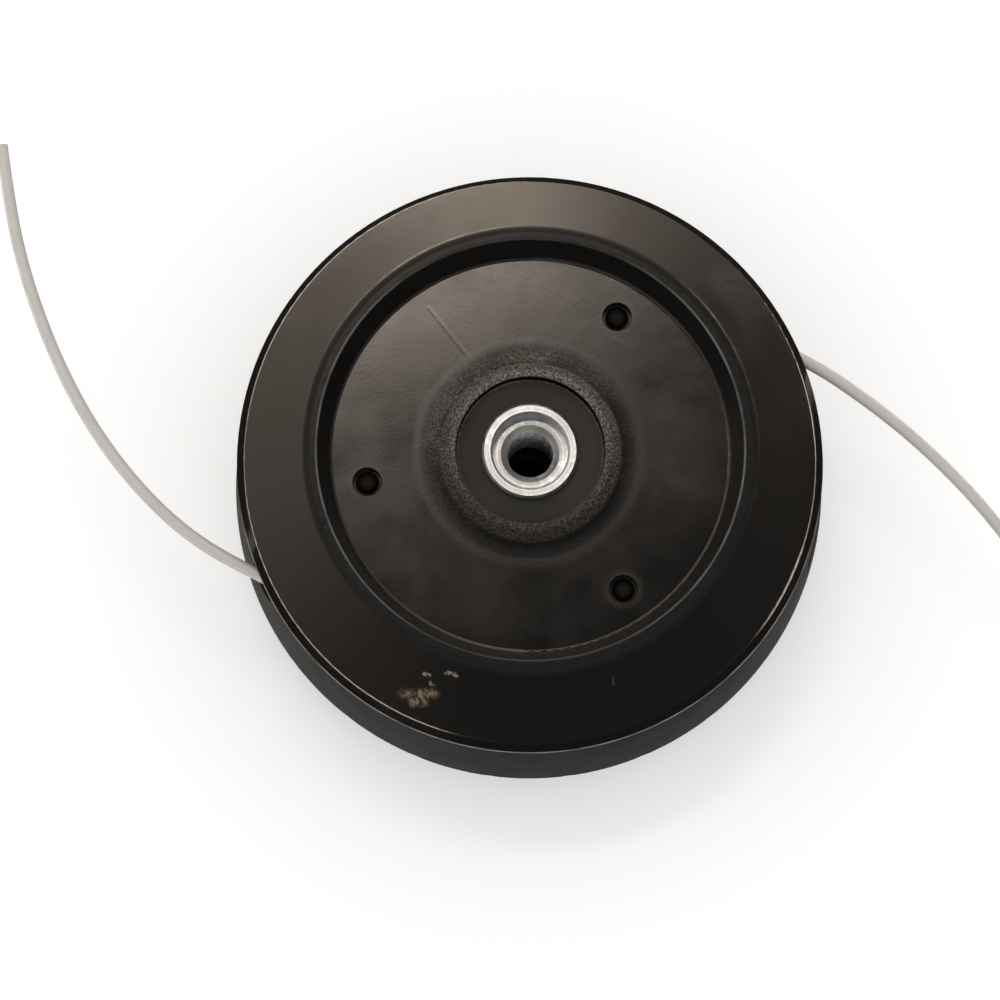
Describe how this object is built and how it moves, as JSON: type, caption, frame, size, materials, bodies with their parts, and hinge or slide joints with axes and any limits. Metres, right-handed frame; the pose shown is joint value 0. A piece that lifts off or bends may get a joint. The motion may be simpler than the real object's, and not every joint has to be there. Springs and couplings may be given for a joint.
{
  "type": "trimmer head",
  "caption": "Round bump-feed trimmer head with a dished crown, threaded insert, sprung knob, spool and curled cutting lines.",
  "frame": {"origin": "middle of the knob's flat foot, on the ground", "axes": "+Z along the spindle axis towards the machine, +Y up in the picture, +X to the right in the picture"},
  "size_m": [0.2221, 0.1262, 0.0607],
  "materials": {
    "housing_nylon": "semi-matt moulded nylon, scuffed",
    "cover_nylon": "semi-matt moulded nylon",
    "spool_nylon": "smooth moulded nylon",
    "knob_nylon": "hard moulded nylon, rubbed on its flat",
    "insert_aluminium": "turned, fine rings",
    "eyelet_steel": "pressed and polished",
    "spring_steel": "oiled spring steel",
    "washer_steel": "zinc plated",
    "slider_steel": "stamped plate",
    "line_nylon": "milky translucent nylon"
  },
  "bodies": {
    "housing": {"upper_housing": "housing_nylon", "threaded_insert": "insert_aluminium", "line_eyelet_left": "eyelet_steel", "line_eyelet_right": "eyelet_steel", "bottom_cover": "cover_nylon", "bump_spring": "spring_steel", "spring_seat_washer": "washer_steel", "slider_clip": "spring_steel", "line_left": "line_nylon", "line_right": "line_nylon"},
    "spring_seat": {"spring_washer": "washer_steel"},
    "spool": {"spool": "spool_nylon", "line_winding_upper": "line_nylon", "line_winding_lower": "line_nylon", "bump_knob": "knob_nylon"},
    "slider": {"feed_slider": "slider_steel"}
  },
  "joints": [
    {"name": "bump", "type": "slide", "parent": "housing", "child": "spring_seat", "axis": [0, 0, 1], "range_m": [0, 0.0065], "stiffness_N_per_m": 1200, "springref_m": -0.006, "deforming": ["bump_spring"]},
    {"name": "spool_turn", "type": "hinge", "parent": "spring_seat", "child": "spool", "pos_m": [0, 0, 0.016], "axis": [0, 0, 1], "continuous": true},
    {"name": "feed_slide", "type": "slide", "parent": "housing", "child": "slider", "axis": [0, 1, 0], "range_m": [0, 0.003]}
  ]
}
